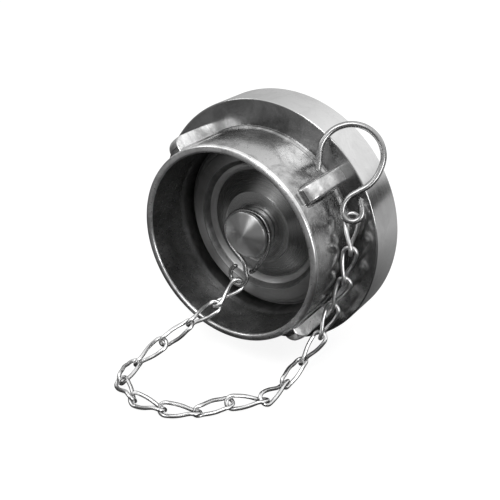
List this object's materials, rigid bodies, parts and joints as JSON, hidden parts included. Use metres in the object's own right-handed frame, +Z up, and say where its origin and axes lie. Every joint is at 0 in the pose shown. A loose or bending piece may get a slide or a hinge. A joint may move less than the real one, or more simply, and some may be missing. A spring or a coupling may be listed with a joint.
{
  "type": "hose coupling blank cap",
  "caption": "Blank cap for a claw hose coupling: steel ring with lugs on a free-turning lid, seal, knob, twisted-link keeper chain and S-hook.",
  "frame": {"origin": "on the cap's axis, at the lid's flat face on the coupling side, where the riveted end of the knob stud is flush", "axes": "+Y along the cap's axis, out of its coupling side; +Z up, with the cap standing on its rim; -Y out of the cup with the knob"},
  "size_m": [0.1258, 0.1259, 0.1258],
  "materials": {
    "forged_steel": "polished",
    "turned_steel": "turned and polished",
    "spring_steel": "satin",
    "bright_wire": "bright",
    "seal_rubber": "matt"
  },
  "bodies": {
    "ring_and_chain": {"locking_ring": "forged_steel", "knob_loop": "bright_wire", "s_hook": "bright_wire", "link_01": "bright_wire", "link_02": "bright_wire", "link_03": "bright_wire", "link_04": "bright_wire", "link_05": "bright_wire", "link_06": "bright_wire", "link_07": "bright_wire", "link_08": "bright_wire", "link_09": "bright_wire", "link_10": "bright_wire", "link_11": "bright_wire", "link_12": "bright_wire", "link_13": "bright_wire", "link_14": "bright_wire", "link_15": "bright_wire", "link_16": "bright_wire", "link_17": "bright_wire"},
    "lid_group": {"lid": "forged_steel", "seal": "seal_rubber", "snap_ring": "spring_steel", "knob_stud": "turned_steel"}
  },
  "joints": [
    {"name": "lid_turn", "type": "hinge", "parent": "ring_and_chain", "child": "lid_group", "pos_m": [0, 0, 0], "axis": [0, 1, 0], "continuous": true}
  ]
}
